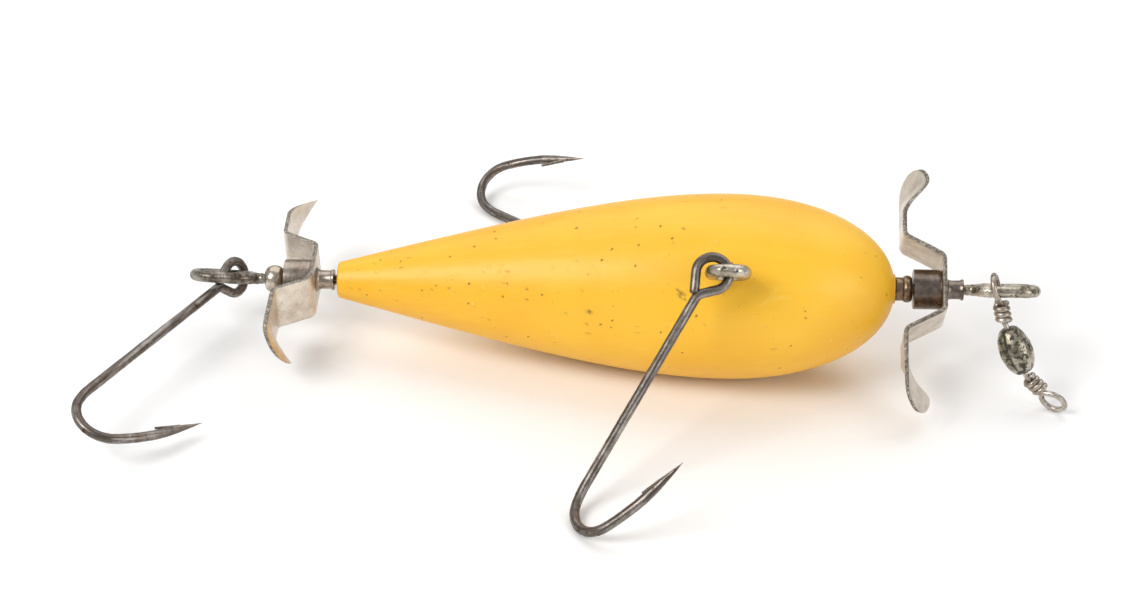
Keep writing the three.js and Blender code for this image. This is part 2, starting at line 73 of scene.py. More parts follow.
# on the table, under the lure's middle
tablePlace = Matrix.Translation((lureMiddle.x, lureMiddle.y, 0)) @ inMillimetres


# sums of shader values


class amount:
    # one socket of a node tree that takes part in sums
    def __init__(self, finish, socket):
        self.finish = finish
        self.socket = socket

    def maths(self, operation, *values):
        return self.finish.add("ShaderNodeMath", {"operation": operation}, dict(enumerate(values)))

    def __add__(self, other):
        return self.maths("ADD", self, other)

    def __sub__(self, other):
        return self.maths("SUBTRACT", self, other)

    def __rsub__(self, other):
        return self.maths("SUBTRACT", other, self)

    def __mul__(self, other):
        return self.maths("MULTIPLY", self, other)

    __radd__ = __add__
    __rmul__ = __mul__

    def atMost(self, other):
        return self.maths("MINIMUM", self, other)

    # 0 below the first value, 1 above the second, smooth in between
    def between(self, low, high):
        inputs = {"Value": self, "From Min": low, "From Max": high}
        return self.finish.add("ShaderNodeMapRange", {"interpolation_type": "SMOOTHSTEP"}, inputs)

    # 1 below the first value, 0 above the second
    def under(self, low, high):
        return 1 - self.between(low, high)


class finish:
    # a material whose nodes are added one by one
    def __init__(self, name):
        self.material = bpy.data.materials.new(name)
        self.material.use_nodes = True
        self.tree = self.material.node_tree
        self.tree.nodes.clear()
        self.shader = self.tree.nodes.new("ShaderNodeBsdfPrincipled")
        output = self.tree.nodes.new("ShaderNodeOutputMaterial")
        self.tree.links.new(self.shader.outputs[0], output.inputs[0])
        self.place = self.add("ShaderNodeTexCoord", take="Object")

    def add(self, kind, settings=None, inputs=None, take=0):
        node = self.tree.nodes.new(kind)
        for key, setting in (settings or {}).items():
            setattr(node, key, setting)
        self.fill(node, inputs or {})
        return amount(self, node.outputs[take])

    def fill(self, node, inputs):
        for key, given in inputs.items():
            if isinstance(given, amount):
                self.tree.links.new(given.socket, node.inputs[key])
            else:
                node.inputs[key].default_value = given

    def surface(self, **inputs):
        self.fill(self.shader, {key.replace("_", " "): given for key, given in inputs.items()})

    def vectors(self, operation, *values):
        inputs = dict(enumerate(values))
        return self.add("ShaderNodeVectorMath", {"operation": operation}, inputs)

    # the piece's coordinates in millimetres along and across the lure, stretched and shifted
    def along(self, stretch=(1, 1, 1), shift=(0, 0, 0)):
        centred = self.vectors("SUBTRACT", self.place, lureMiddle)
        level = self.add("ShaderNodeVectorRotate", {"rotation_type": "Y_AXIS"},
                         {"Vector": centred, "Angle": math.asin(lureAxis.z)})
        scaled = self.vectors("MULTIPLY", level, Vector(stretch) / mm)
        return self.vectors("ADD", scaled, shift)

    def cloud(self, where, scale=1.0, detail=2.0, roughness=0.5, warp=0.0):
        inputs = {"Vector": where, "Scale": scale, "Detail": detail, "Roughness": roughness,
                  "Distortion": warp}
        return self.add("ShaderNodeTexNoise", None, inputs)

    # distance to the nearest of many scattered points, and a random number for that point
    def dots(self, where, scale):
        inputs = {"Vector": where, "Scale": scale}
        far = self.add("ShaderNodeTexVoronoi", None, inputs, take="Distance")
        colour = amount(self, far.socket.node.outputs["Color"])
        return far, self.add("ShaderNodeSeparateColor", None, {0: colour})

    def tint(self, share, first, second):
        first = first if isinstance(first, amount) else (*first, 1)
        second = second if isinstance(second, amount) else (*second, 1)
        inputs = {0: share, 6: first, 7: second}
        return self.add("ShaderNodeMix", {"data_type": "RGBA"}, inputs, take=2)

    def painted(self, name):
        return self.add("ShaderNodeAttribute", {"attribute_name": name}, take="Fac")

    # streaks that follow a wire: slow along it and quick round it
    def drawn(self, here, slow, quick):
        around = self.add("ShaderNodeCombineXYZ", None,
                          {0: self.painted("aroundX"), 1: self.painted("aroundY")})
        quickly = self.vectors("MULTIPLY", around, (quick,) * 3)
        return self.vectors("MULTIPLY_ADD", here, (slow,) * 3, quickly)

    # height is in millimetres
    def bump(self, height, strength=1.0):
        inputs = {"Height": height, "Distance": mm, "Strength": strength}
        return self.add("ShaderNodeBump", None, inputs)


# bending wire and making pieces


class wire:
    # a round wire drawn from one ring of edges: the ring is pushed ahead, or swung round a bend
    def __init__(self, mesh, radius, sides, start, heading, normal):
        self.mesh = mesh
        self.radius = radius
        self.place = Vector(start)
        self.heading = Vector(heading).normalized()
        self.normal = Vector(normal).normalized()
        where = self.local()
        made = bmesh.ops.create_circle(mesh, cap_ends=False, segments=sides, radius=radius,
                                       matrix=where)
        self.points = made["verts"]
        for axis, name in enumerate(("aroundX", "aroundY")):
            layer = mesh.verts.layers.float.get(name)
            for point in self.points if layer else []:
                point[layer] = (where.inverted() @ point.co)[axis] / radius
        self.edges = self.edgesOf(self.points)
        self.firstEdges = self.edges

    def local(self):
        side = self.normal.cross(self.heading)
        return Matrix.Translation(self.place) @ turnTo(side, self.normal, self.heading)

    def edgesOf(self, points):
        # always in the same order, so that each run gives the same mesh
        chosen = set(points)
        edges = dict.fromkeys(edge for point in points for edge in point.link_edges)
        return [edge for edge in edges if edge.verts[0] in chosen and edge.verts[1] in chosen]

    def step(self, move, grow=(1, 1, 1)):
        made = bmesh.ops.extrude_edge_only(self.mesh, edges=self.edges)
        self.points = [part for part in made["geom"] if isinstance(part, bmesh.types.BMVert)]
        self.edges = self.edgesOf(self.points)
        bmesh.ops.translate(self.mesh, verts=self.points, vec=move)
        self.place = self.place + move
        bmesh.ops.scale(self.mesh, verts=self.points, vec=grow, space=self.local().inverted())
        return self

    def ahead(self, length, pitch=0.5, drift=0.0):
        count = max(1, round(length / pitch))
        for _ in range(count):
            self.step(self.heading * length / count + self.normal * drift / count)
        return self

    def turn(self, degrees, radius, stepAngle=7.0, drift=0.0):
        side = self.normal.cross(self.heading)
        centre = self.place + side * radius * math.copysign(1, degrees)
        count = max(2, round(abs(degrees) / stepAngle))
        angle = math.radians(degrees)
        made = bmesh.ops.spin(self.mesh, geom=self.points + self.edges, cent=centre,
                              axis=self.normal, dvec=self.normal * drift / count, angle=angle,
                              steps=count, use_merge=False, use_normal_flip=False,
                              use_duplicate=False)
        self.points = [part for part in made["geom_last"] if isinstance(part, bmesh.types.BMVert)]
        self.edges = self.edgesOf(self.points)
        swing = Matrix.Rotation(angle, 3, self.normal)
        self.place = centre + swing @ (self.place - centre) + self.normal * drift
        self.heading = swing @ self.heading
        return self

    # a worn, slightly rounded cut end
    def roundEnd(self, roundness=0.35):
        pinch, before = 1.6, 0.0
        for angle in (25, 50, 75):
            now = math.radians(angle)
            move = self.heading * self.radius * roundness * (math.sin(now) - math.sin(before))
            shrink = 1 - roundness * (math.cos(before) - math.cos(now)) * pinch
            self.step(move, (shrink, shrink, 1))
            before = now
        bmesh.ops.edgeloop_fill(self.mesh, edges=self.edges)
        return self

    # thins out along the move and closes; each size is a share of the full thickness
    def taper(self, move, sizes):
        before = 1.0
        for size in sizes:
            self.step(move / len(sizes), (size / before, size / before, 1))
            before = size
        bmesh.ops.edgeloop_fill(self.mesh, edges=self.edges)

    def closeStart(self):
        bmesh.ops.edgeloop_fill(self.mesh, edges=self.firstEdges)
        return self


def newMesh(*layers):
    mesh = bmesh.new()
    for name in layers:
        mesh.verts.layers.float.new(name)
    return mesh


def closeUp(mesh):
    # joins points that coincide and turns the faces outwards
    bmesh.ops.remove_doubles(mesh, verts=mesh.verts, dist=0.002)
    bmesh.ops.recalc_face_normals(mesh, faces=mesh.faces)
    mesh.normal_update()


def turnedPart(mesh, outline, steps):
    # outline: stations along X and radii, from the axis to the axis or closed on itself
    points = [mesh.verts.new((station, 0, radius)) for station, radius in outline]
    edges = [mesh.edges.new(pair) for pair in zip(points, points[1:])]
    if outline[0][1] > 0:
        edges.append(mesh.edges.new((points[-1], points[0])))
    bmesh.ops.spin(mesh, geom=points + edges, cent=(0, 0, 0), axis=(1, 0, 0), angle=2 * math.pi,
                   steps=steps, use_merge=True, use_normal_flip=False, use_duplicate=False)
    closeUp(mesh)


def roundedOutline(outline, chamfer):
    # each corner of a closed outline is cut back a little on both sides
    rounded = []
    count = len(outline)
    for i, corner in enumerate(outline):
        corner = Vector(corner)
        for other in (outline[i - 1], outline[(i + 1) % count]):
            run = Vector(other) - corner
            rounded.append(tuple(corner + run.normalized() * min(chamfer, run.length * 0.3)))
    return rounded


def roughen(mesh, height, scale, seed):
    # the small dents of old metal: their height, and how close together they are
    mesh.normal_update()
    shift = Vector((seed * 7.3, seed * 3.1, seed * 5.7))
    for point in mesh.verts:
        point.co += point.normal * height * noise.noise(point.co * scale + shift)


def makePiece(name, mesh, material, carrier, nodes, place, sharpAngle):
    # carrier: the moving body that the piece rides on; nodes: the solids it takes the place of
    closeUp(mesh)
    bmesh.ops.transform(mesh, matrix=place, verts=mesh.verts)
    shape = bpy.data.meshes.new(name)
    mesh.to_mesh(shape)
    mesh.free()
    shape.shade_smooth()
    shape.set_sharp_from_angle(angle=math.radians(sharpAngle))
    shape.materials.append(material)
    piece = bpy.data.objects.new(name, shape)
    show(piece)
    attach(piece, carrier)
    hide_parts(*nodes)
    print("made", name, len(shape.polygons), "faces")


def fuse(mesh, grain):
    # joins overlapping solids into one skin with soft joints, as solder leaves them
    loose = bpy.data.meshes.new("loose")
    mesh.to_mesh(loose)
    helper = bpy.data.objects.new("helper", loose)
    show(helper)
    remesh = helper.modifiers.new("skin", "REMESH")
    remesh.mode = "VOXEL"
    remesh.voxel_size = grain
    made = helper.evaluated_get(bpy.context.evaluated_depsgraph_get())
    skin = bpy.data.meshes.new_from_object(made)
    mesh.clear()
    mesh.from_mesh(skin)
    bpy.data.objects.remove(helper)
    bpy.data.meshes.remove(loose)
    bpy.data.meshes.remove(skin)
    for _ in range(3):
        bmesh.ops.smooth_vert(mesh, verts=mesh.verts, factor=0.5,
                              use_axis_x=True, use_axis_y=True, use_axis_z=True)


# finishes

paintLook = {
    "yellow": (0.93, 0.515, 0.022),
    "deepYellow": (0.89, 0.455, 0.014),
    "paleYellow": (0.95, 0.585, 0.065),
    "pit": (0.17, 0.075, 0.012),
    "dirt": (0.36, 0.17, 0.02),
    "roughness": 0.42,
    "coat": 0.2,
    "coatRoughness": 0.28,
    # spots: stretch, shift and closeness of their pattern, and the soft edge of each
    "dots": ((1, 1, 1), (11, 5, 2), 0.45, (0.05, 0.17)),
    "dashes": ((0.22, 1, 1), (5, 3, 8), 0.75, (0.04, 0.13)),
    "specks": ((1, 1, 1), (2, 9, 4), 1.5, (0.05, 0.13)),
    # the share of the dashes and specks that is there, with its soft edge
    "dashShare": (0.3, 0.32),
    "speckShare": (0.10, 0.12),
}


def spots(made, kind):
    stretch, shift, scale, rim = paintLook[kind]
    far, chance = made.dots(made.along(stretch, shift), scale)
    return far.under(*rim), chance


def paintFinish():
    look = paintLook
    made = finish("yellow paint")
    here = made.along()
    cloudy = made.cloud(here, 0.055, 3)
    brushed = made.cloud(made.along((0.03, 1.1, 1.1)), 1.0, 4, 0.6)
    streaks = made.cloud(made.along((0.09, 4.0, 4.0), (3, 0, 0)), 1.0, 2, 0.5)
    peel = made.cloud(here, 1.9, 2)
    ragged = made.vectors("ADD", here, made.cloud(here, 2.2, 4, 0.7) * 0.8)
    colour = made.tint(cloudy.between(0.35, 0.7), look["deepYellow"], look["yellow"])
    colour = made.tint(brushed.between(0.45, 0.8) * 0.25, colour, look["paleYellow"])
    # pinholes, thicker towards the tail, and dots where the paint stands proud; the dots also get a
    # painted highlight in pale yellow
    station = made.add("ShaderNodeSeparateXYZ", None, {0: here})
    tailward = station.under(-20, 25) * 0.35 + 0.14
    far, chance = made.dots(ragged, 0.62)
    holes = far.under(0.065, 0.115) * (chance - tailward).under(-0.01, 0.01)
    near, chance = spots(made, "dots")
    dots = near * (chance - tailward * 0.9).under(-0.01, 0.01)
    near, chance = spots(made, "dashes")
    dashes = near * chance.under(*look["dashShare"])
    near, chance = spots(made, "specks")
    specks = near * chance.under(*look["speckShare"])
    mark = made.painted("pit")
    scratch = made.painted("scratch")
    edge = made.painted("edge")
    colour = made.tint(holes * 0.9, colour, look["dirt"])
    colour = made.tint(specks * 0.7, colour, look["dirt"])
    colour = made.tint(dashes * 0.3, colour, look["dirt"])
    # painted highlight: the raised dots are tinted pale yellow to stand for the light they catch
    colour = made.tint(dots * 0.8, colour, look["paleYellow"])
    colour = made.tint(mark, colour, look["pit"])
    colour = made.tint(scratch * 0.9, colour, look["paleYellow"])
    colour = made.tint(edge * (cloudy.between(0.3, 0.6) * 0.35 + 0.6), colour, look["pit"])
    height = brushed * 0.030 + streaks * 0.014 + peel * 0.02 + dots * 0.12
    height = height - holes * 0.26 - dashes * 0.09 - specks * 0.07
    made.surface(Base_Color=colour,
                 Roughness=peel * 0.12 + look["roughness"] + holes * 0.3 + mark * 0.3,
                 Coat_Weight=look["coat"], Coat_Roughness=look["coatRoughness"], Coat_IOR=1.5,
                 IOR=1.47, Normal=made.bump(height, 0.9))
    return made.material


# what a metal has where its own line says nothing else; eaten is where the pits begin
commonLook = {"stainShare": 0.4, "patina": (0.38, 0.64), "roughness": 0.24, "eaten": 0.76,
              "pits": 0.15, "grain": 0.9, "metallic": 0.92, "drawn": 0}
metalLooks = {
    "ring": {
        "bright": (0.6, 0.55, 0.46), "dull": (0.27, 0.225, 0.165), "dark": (0.035, 0.03, 0.024),
        "stain": (0.2, 0.18, 0.07), "stainShare": 0.45, "patina": (0.4, 0.6), "eaten": 0.6,
        "pits": 0.75, "grain": 1.0},
    "tailRing": {
        "bright": (0.36, 0.33, 0.29), "dull": (0.13, 0.105, 0.08), "dark": (0.03, 0.026, 0.022),
        "stain": (0.15, 0.08, 0.03), "stainShare": 0.55, "patina": (0.4, 0.62), "eaten": 0.6,
        "pits": 0.6, "grain": 1.0},
    "blade": {
        "bright": (0.8, 0.735, 0.65), "dull": (0.61, 0.54, 0.45), "dark": (0.055, 0.045, 0.036),
        "stain": (0.4, 0.32, 0.23), "patina": (0.35, 0.7), "roughness": 0.25, "eaten": 0.74,
        "pits": 0.4, "grain": 1.1, "metallic": 0.94},
    "hub": {
        "bright": (0.27, 0.225, 0.19), "dull": (0.12, 0.095, 0.078), "dark": (0.035, 0.028, 0.022),
        "stain": (0.155, 0.118, 0.09), "roughness": 0.2, "metallic": 0.95},
    "tailHub": {
        "bright": (0.46, 0.39, 0.33), "dull": (0.23, 0.185, 0.15), "dark": (0.05, 0.04, 0.032),
        "stain": (0.3, 0.21, 0.14), "roughness": 0.2, "metallic": 0.95},
    "frontBead": {
        "bright": (0.31, 0.235, 0.165), "dull": (0.17, 0.12, 0.085), "dark": (0.06, 0.04, 0.025),
        "stain": (0.25, 0.18, 0.12), "roughness": 0.22, "metallic": 0.95},
    "brightBead": {
        "bright": (0.7, 0.64, 0.56), "dull": (0.45, 0.38, 0.29), "dark": (0.14, 0.1, 0.07),
        "stain": (0.45, 0.32, 0.18), "stainShare": 0.3, "patina": (0.42, 0.68), "roughness": 0.15,
        "eaten": 0.74, "pits": 0.25, "metallic": 0.96},
    "hook": {
        "bright": (0.42, 0.385, 0.35), "dull": (0.125, 0.104, 0.09), "dark": (0.02, 0.016, 0.014),
        "stain": (0.13, 0.062, 0.032), "patina": (0.44, 0.66), "roughness": 0.27, "eaten": 0.66,
        "pits": 0.5, "grain": 1.6, "metallic": 0.9, "drawn": 0.62},
    "swivel": {
        "bright": (0.52, 0.475, 0.39), "dull": (0.22, 0.19, 0.14), "dark": (0.025, 0.022, 0.018),
        "stain": (0.23, 0.25, 0.11), "stainShare": 0.6, "patina": (0.42, 0.58), "roughness": 0.25,
        "eaten": 0.555, "pits": 0.9, "grain": 1.05, "metallic": 0.9},
    "swivelWire": {
        "bright": (0.63, 0.58, 0.52), "dull": (0.36, 0.31, 0.26), "dark": (0.05, 0.04, 0.032),
        "stain": (0.28, 0.22, 0.13), "patina": (0.42, 0.62), "eaten": 0.66, "pits": 0.4,
        "grain": 1.3, "drawn": 0.35},
}


def metalFinish(name):
    look = {**commonLook, **metalLooks[name]}
    made = finish(name + " metal")
    here = made.along(shift=(len(name) * 3.7, 1.3, len(name) * 0.9))
    grain = look["grain"]
    low, high = look["patina"]
    patches = made.cloud(here, 0.45 * grain, 4, 0.62)
    fine = made.cloud(here, 2.6 * grain, 4, 0.65)
    tone = patches * 0.72 + fine * 0.28
    if look["drawn"]:
        streaks = made.cloud(made.drawn(here, 0.16, 1.5), 1.0, 4, 0.6)
        tone = tone * (1 - look["drawn"]) + streaks * look["drawn"]
    stains = made.cloud(made.along(shift=(4, 17, 6)), 0.30 * grain, 3, 0.6)
    far, chance = made.dots(here, 1.5 * grain)
    # pits gather in patches and have ragged rims
    eaten = made.cloud(made.along(shift=(21, 7, 3)), 1.15 * grain, 5, 0.72, 0.4)
    eaten = eaten + (stains - 0.5) * 0.5 + (far - 0.3) * 0.12
    pits = eaten.between(look["eaten"], look["eaten"] + 0.035)
    far, chance = made.dots(made.along(shift=(8, 2, 13)), 3.4 * grain)
    common = look["pits"] * 0.45
    specks = far.under(0.10, 0.24) * chance.under(common, common + 0.04)
    hollows = (pits + specks * 0.8).atMost(1)
    edge = made.painted("edge")
    dark = made.painted("dark")
    colour = made.tint(tone.between(low, high), look["dull"], look["bright"])
    colour = made.tint(stains.between(0.5, 0.68) * look["stainShare"], colour, look["stain"])
    grime = fine.between(0.36, 0.58) * 0.5 + 0.32
    colour = made.tint(edge.between(0.25, 0.7) * grime, colour, look["dark"])
    colour = made.tint(hollows * 0.9, colour, look["dark"])
    colour = made.tint(dark * (fine.between(0.35, 0.55) * 0.4 + 0.6), colour, look["dark"])
    height = fine * 0.02 + patches * 0.03 - pits * 0.07 - specks * 0.03
    roughness = fine * 0.18 + look["roughness"] + hollows * 0.3 + edge * 0.15
    made.surface(Base_Color=colour, Metallic=look["metallic"] - hollows * 0.45 - dark * 0.3,
                 Roughness=roughness.atMost(0.85), Normal=made.bump(height, 0.8))
    return made.material


paint = paintFinish()
metals = {name: metalFinish(name) for name in metalLooks}
print("finishes made")


# the painted body

body = {
    "length": 76.2, "radius": 12.66, "noseLength": 22.9, "noseFullness": 2.11, "noseLand": 2.0,
    "tailRadius": 2.41, "tailSoftness": 6.2, "tailEdge": 0.5, "bore": 0.72, "boreDepth": 6.0,
    "boreEdge": 0.1, "stations": 280, "steps": 250, "waviness": 0.035, "wornEnd": 0.12,
    "smallPits": 70, "pitRim": 0.12, "scratchReach": 0.34, "scratchHeight": 0.06, "scuffReach": 0.3,
    # station from the middle, angle round from the level near side, radius and depth of each pit
    "pits": [(-3.1, 11.9, 0.42, 0.20), (-3.4, 2.2, 0.18, 0.10), (-14.2, 42.1, 0.24, 0.14),
             (-11.5, 27.1, 0.22, 0.12), (-22.2, 24.3, 0.20, 0.12), (-24.6, 21.5, 0.17, 0.10),
             (-16.9, -8.4, 0.19, 0.11), (-31.8, 12.6, 0.18, 0.10), (-35.2, 57.9, 0.18, 0.10),
             (-29.7, -3.6, 0.15, 0.08), (-16.1, 80.4, 0.24, 0.10), (-7.5, 25.7, 0.2, 0.1),
             (9.2, 69.8, 0.26, 0.14), (7.9, 59.2, 0.2, 0.12), (12.4, 8.0, 0.17, 0.1),
             (23.8, 57.5, 0.16, 0.08), (31.6, -32.6, 0.17, 0.1)],
    # station and angle along each fine line: raised scratches, and the dark scuff beside the hook
    "scratches": [[(21.6, 30.5), (20.7, 24.9), (19.7, 20.8)],
                  [(21.0, 24.4), (22.2, 25.4), (23.4, 25.6)]],
    "scuffs": [[(8.6, 29.5), (9.1, 26.2), (9.7, 23.0)], [(8.5, 27.6), (9.2, 28.3)],
               [(8.9, 25.4), (9.5, 26.4)]],
    "linesFrom": (5, 10), "linesTo": (27, 40),
}


def bodyRadiusAt(distance):
    if distance < body["noseLength"]:
        left = 1 - distance / body["noseLength"]
        return body["radius"] * (1 - left ** body["noseFullness"]) ** (1 / body["noseFullness"])
    soft = body["tailSoftness"]
    drop = body["radius"] - body["tailRadius"] + soft
    along = (distance - body["noseLength"]) / (body["length"] - body["noseLength"])
    return body["radius"] + soft - math.hypot(soft, math.sqrt(drop * drop - soft * soft) * along)


def bodyOutline():
    half = body["length"] / 2
    bore, depth, soft, edge = body["bore"], body["boreDepth"], body["boreEdge"], body["tailEdge"]
    outline = [(depth - half, 0), (depth - half, bore), (-half + soft, bore), (-half, bore + soft)]
    endRadius = bodyRadiusAt(body["length"] - edge)
    for angle in range(0, 91, 15):
        turn = math.radians(angle)
        outline.append((-half + edge * (1 - math.cos(turn)),
                        endRadius - edge * (1 - math.sin(turn))))
    for i in range(1, body["stations"] + 1):
        # the stations crowd together towards the nose
        share = i / body["stations"]
        fromNose = (1 - math.sin(share * math.pi / 2)) * share + (1 - share) ** 2.15
        distance = (body["length"] - edge) * fromNose
        outline.append((half - distance, max(bodyRadiusAt(distance), body["noseLand"])))
    outline += [(half, bore + soft), (half - soft, bore), (half - depth, bore), (half - depth, 0)]
    return outline


def bodyPits():
    # the larger pits in their places, and small ones strewn at random, thicker towards the tail
    draw = random.Random(7)
    small = [(draw.uniform(-37, 20 - 57 * draw.random() ** 2), draw.uniform(-180, 180),
              draw.uniform(0.1, 0.18), 0.06) for _ in range(body["smallPits"])]
    return [(Vector((station, math.radians(angle))), radius, depth)
            for station, angle, radius, depth in body["pits"] + small]


def nearLine(point, line):
    # distance in millimetres over the surface from a point to a drawn line
    best = math.inf
    for start, end in zip(line, line[1:]):
        run = end - start
        share = min(1, max(0, (point - start).dot(run) / run.length_squared))
        best = min(best, (point - start - run * share).length)
    return best


def tracesNear(lines, station, angle, radius, reach):
    # for each drawn line within reach: 1 on the line, falling to 0 at the reach
    for line in lines:
        drawn = [Vector((along, math.radians(turned) * radius)) for along, turned in line]
        near = nearLine(Vector((station, angle * radius)), drawn)
        if near < reach:
            yield 1 - near / reach


def restOnBelly(mesh):
    # the belly's lowest part is planed off level with the table
    toLure = lurePlace.inverted()
    level = (toLure.to_3x3() @ Vector((0, 0, 1))).normalized()
    cut = bmesh.ops.bisect_plane(mesh, geom=mesh.verts[:] + mesh.edges[:] + mesh.faces[:],
                                 plane_co=toLure @ Vector((lureMiddle.x, lureMiddle.y, 0)),
                                 plane_no=level, dist=1e-5, clear_inner=True, clear_outer=False)
    rim = [part for part in cut["geom_cut"] if isinstance(part, bmesh.types.BMEdge)]
    bmesh.ops.edgeloop_fill(mesh, edges=rim)


def makeBody():
    mesh = newMesh("pit", "scratch", "edge")
    pitLayer, scratchLayer, edgeLayer = (mesh.verts.layers.float[name]
                                         for name in ("pit", "scratch", "edge"))
    turnedPart(mesh, bodyOutline(), body["steps"])
    half = body["length"] / 2
    pits = bodyPits()
    (low, lowAngle), (high, highAngle) = body["linesFrom"], body["linesTo"]
    for point in mesh.verts:
        station = point.co.x
        radius = math.hypot(point.co.y, point.co.z)
        if radius < body["bore"] + 2 * body["boreEdge"]:
            point[edgeLayer] = 1.0
            continue
        angle = math.atan2(point.co.z, -point.co.y)
        rings = noise.noise(Vector((station * 1.6, 3.0, 1.0)))
        flutes = noise.noise(Vector((station * 0.05, math.cos(angle) * 5, math.sin(angle) * 5)))
        push = body["waviness"] * (0.25 * rings + 0.6 * flutes)
        mark = 0.0
        for centre, size, depth in pits:
            if abs(centre.x - station) > size * 2.5:
                continue
            across = math.remainder(centre.y - angle, 2 * math.pi) * radius
            far = math.hypot(station - centre.x, across * 1.15) / size
            if far < 1.7:
                push -= depth * max(0, 1 - far * far)
                push += depth * body["pitRim"] * max(0, 1 - abs(far - 1.25) / 0.45)
                mark = max(mark, min(1, max(0, 1.15 - far)) * min(1, size / 0.22))
        if low < station < high and lowAngle < math.degrees(angle) < highAngle:
            here = (station, angle, radius)
            for trace in tracesNear(body["scratches"], *here, body["scratchReach"]):
                point[scratchLayer] = trace
                push += body["scratchHeight"] * trace
            broken = noise.noise(Vector((station * 3, angle * radius * 3, 0)))
            for trace in tracesNear(body["scuffs"], *here, body["scuffReach"]):
                if broken > -0.15:
                    mark = max(mark, 0.8 * trace)
        point[pitLayer] = mark
        worn = max(0, abs(station) - half + body["wornEnd"]) / body["wornEnd"]
        point[edgeLayer] = worn * (0.55 if radius < 2.3 else 0.25)
        point.co += point.normal * push
    restOnBelly(mesh)
    makePiece("painted_body", mesh, paint, "lure", ["body"], lurePlace, 50)


makeBody()


# wire eyes

eyes = {
    "front": {"length": 9.5, "width": 6.2, "wire": 1.6, "shaft": 0.65, "shaftLength": 17.0,
              "end": 57.9, "tilt": -28, "bend": 0.0, "seed": 1},
    "tail": {"length": 9.5, "width": 6.2, "wire": 1.6, "shaft": 0.65, "shaftLength": 17.0,
             "end": -58.65, "tilt": 28, "bend": 3.2, "seed": 2},
    "side": {"length": 7.2, "width": 6.1, "wire": 1.7, "shaft": 0.85, "shaftLength": 6.5,
             "reach": 20.6, "tilt": 0, "bend": 0.0},
    "sideStations": {"near_side_eye": 15.2, "far_side_eye": 10.7},
    "ringSides": 28, "shaftSides": 24,
    # solder fills the foot of the ring and stands round the shaft as a collar
    "solder": 0.98, "solderLength": 1.15, "solderWidth": 1.02, "solderAt": 0.35,
    "collar": 0.12, "collarLength": 0.8, "collarAt": -0.45, "grain": 0.11,
    "dents": (0.035, 1.3), "fineDents": (0.02, 3.4), "sideDents": (0.04, 1.2),
}


def addSolder(mesh, radius, stretch, station):
    lump = bmesh.ops.create_uvsphere(mesh, u_segments=20, v_segments=14, radius=radius)["verts"]
    bmesh.ops.scale(mesh, verts=lump, vec=stretch)
    bmesh.ops.translate(mesh, verts=lump, vec=(station, 0, 0))


def eyeShape(size):
    # the ring's outer end is at X = 0 and the shaft runs towards -X
    mesh = newMesh()
    length, radius = size["length"], size["wire"] / 2
    across = size["width"] / 2 - radius
    straight = length - size["width"]
    ring = wire(mesh, radius, eyes["ringSides"], (-length / 2 - straight / 2, -across, 0),
                (1, 0, 0), (0, 0, 1))
    for _ in range(2):
        ring.ahead(straight, 0.4).turn(180, across, 6)
    closeUp(mesh)
    for angle, axis, station in ((size["tilt"], "X", 0), (-size["bend"], "Y", -length)):
        turned = Matrix.Rotation(math.radians(angle), 3, axis)
        bmesh.ops.rotate(mesh, verts=mesh.verts, cent=(station, 0, 0), matrix=turned)
    shaft = wire(mesh, size["shaft"], eyes["shaftSides"], (radius * 0.9 - length, 0, 0),
                 (-1, 0, 0), (0, 0, 1))
    shaft.closeStart().ahead(size["shaftLength"], 0.6).roundEnd()
    flat = radius * eyes["solderWidth"]
    addSolder(mesh, eyes["solder"], (eyes["solderLength"], flat, flat), eyes["solderAt"] - length)
    addSolder(mesh, size["shaft"] + eyes["collar"], (eyes["collarLength"], 1, 1),
              eyes["collarAt"] - length)
    bmesh.ops.recalc_face_normals(mesh, faces=mesh.faces)
    fuse(mesh, eyes["grain"])
    return mesh


def makeEndEye(name, size, metal, node, facing):
    mesh = eyeShape(size)
    roughen(mesh, *eyes["dents"], size["seed"])
    roughen(mesh, *eyes["fineDents"], size["seed"] + 5)
    place = lurePlace @ Matrix.Translation((size["end"], 0, 0)) @ Matrix.Rotation(facing, 4, "Z")
    makePiece(name, mesh, metals[metal], "lure", [node], place, 60)


def makeSideEye(name, node, seed):
    # the ring lies along the lure, and its stem points straight at the lure's axis
    size = eyes["side"]
    low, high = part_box(node)
    middle = lurePlace.inverted() @ ((low + high) / 2)
    away = Vector((0, middle.y, middle.z)).normalized()
    back = Vector((-1, 0, 0))
    mesh = eyeShape(size)
    roughen(mesh, *eyes["sideDents"], seed)
    ringEnd = Vector((eyes["sideStations"][node], 0, 0)) + away * size["reach"]
    place = lurePlace @ Matrix.Translation(ringEnd) @ turnTo(away, back, away.cross(back))
    makePiece(name, mesh, metals["ring"], "lure", [node], place, 60)


makeEndEye("nose_ring", eyes["front"], "ring", "front_eye", 0)
makeEndEye("tail_ring", eyes["tail"], "tailRing", "tail_eye", math.pi)
makeSideEye("near_ring", "near_side_eye", 3)
makeSideEye("far_ring", "far_side_eye", 4)


# beads and hubs

